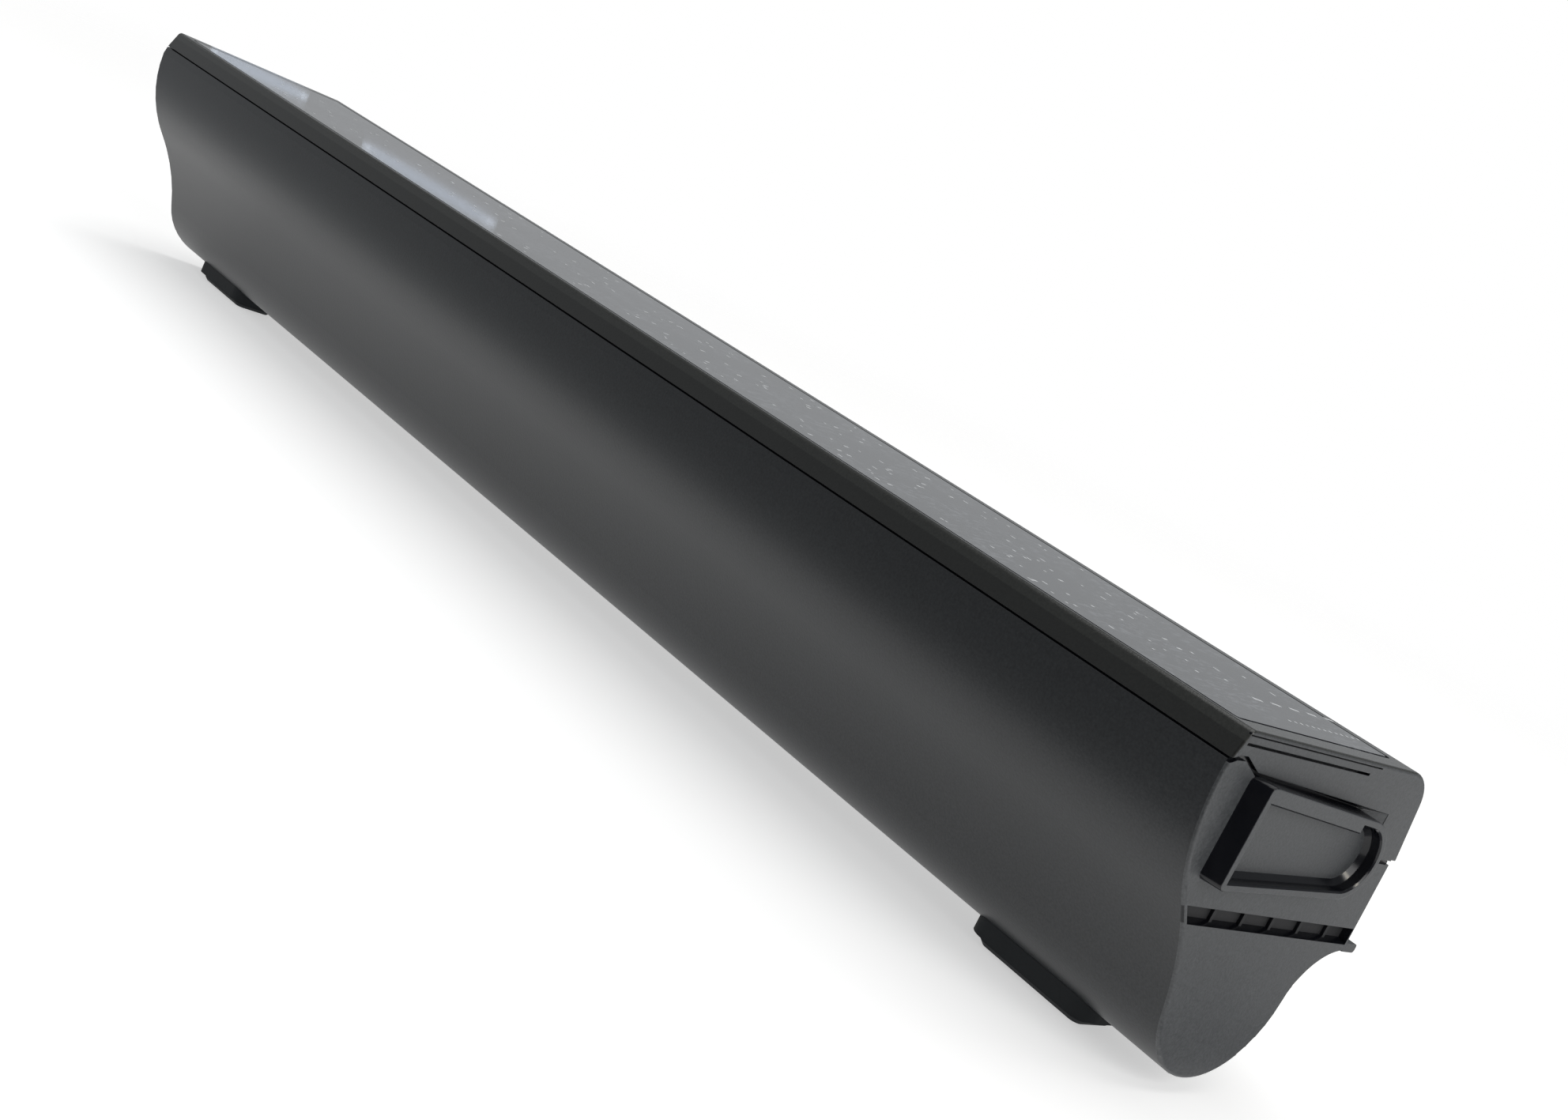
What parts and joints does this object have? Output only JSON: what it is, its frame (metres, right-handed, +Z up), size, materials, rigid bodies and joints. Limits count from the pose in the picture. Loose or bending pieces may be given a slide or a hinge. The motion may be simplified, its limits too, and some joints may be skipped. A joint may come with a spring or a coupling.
{
  "type": "laptop battery",
  "caption": "Long dark laptop battery pack with a wavy front, a round bump of cells along its underside on rubber feet, a label film on top and a D-shaped rim on its end.",
  "frame": {"origin": "on the table that the feet stand on, under the middle of the bounding box", "axes": "+X along the pack towards the end with the D-shaped rim, -Y out of the wavy front, +Z up out of the label"},
  "size_m": [0.2924, 0.0438, 0.0434],
  "materials": {
    "case_plastic": "moulded, finely textured dark grey plastic",
    "label_film": "satin printed film, dark grey with small silver dashes",
    "foot_rubber": "soft near-black rubber",
    "cell_sleeve": "shrunk sleeve over a steel can",
    "nickel": "rolled nickel strip",
    "insulating_paper": "fibre paper",
    "lead_insulation": "wire insulation",
    "board_laminate": "green solder mask on glass laminate",
    "chip_resin": "moulded black resin",
    "resistor_metal": "metal strip",
    "connector_plastic": "moulded black plastic",
    "contact_brass": "plated spring brass"
  },
  "bodies": {
    "root": {"cell_a1": "cell_sleeve", "cell_a2": "cell_sleeve", "cell_a3": "cell_sleeve", "cell_a4": "cell_sleeve", "cell_b1": "cell_sleeve", "cell_b2": "cell_sleeve", "cell_b3": "cell_sleeve", "cell_b4": "cell_sleeve", "cell_c1": "cell_sleeve", "cell_c2": "cell_sleeve", "cell_c3": "cell_sleeve", "cell_c4": "cell_sleeve", "circuit_board": "board_laminate", "connector_body": "connector_plastic", "contact_1": "contact_brass", "contact_2": "contact_brass", "contact_3": "contact_brass", "contact_4": "contact_brass", "contact_5": "contact_brass", "controller_chip": "chip_resin", "fuse": "chip_resin", "insulating_paper_far": "insulating_paper", "insulating_paper_near": "insulating_paper", "label": "label_film", "lead_negative": "lead_insulation", "lead_positive": "lead_insulation", "lead_sense_1": "lead_insulation", "lead_sense_2": "lead_insulation", "lead_sense_3": "lead_insulation", "lower_case": "case_plastic", "nickel_link_0": "nickel", "nickel_link_1": "nickel", "nickel_link_2": "nickel", "nickel_link_3": "nickel", "nickel_link_4": "nickel", "power_transistor_1": "chip_resin", "power_transistor_2": "chip_resin", "rubber_foot_far": "foot_rubber", "rubber_foot_near": "foot_rubber", "sense_resistor": "resistor_metal", "upper_case": "case_plastic"}
  },
  "joints": []
}
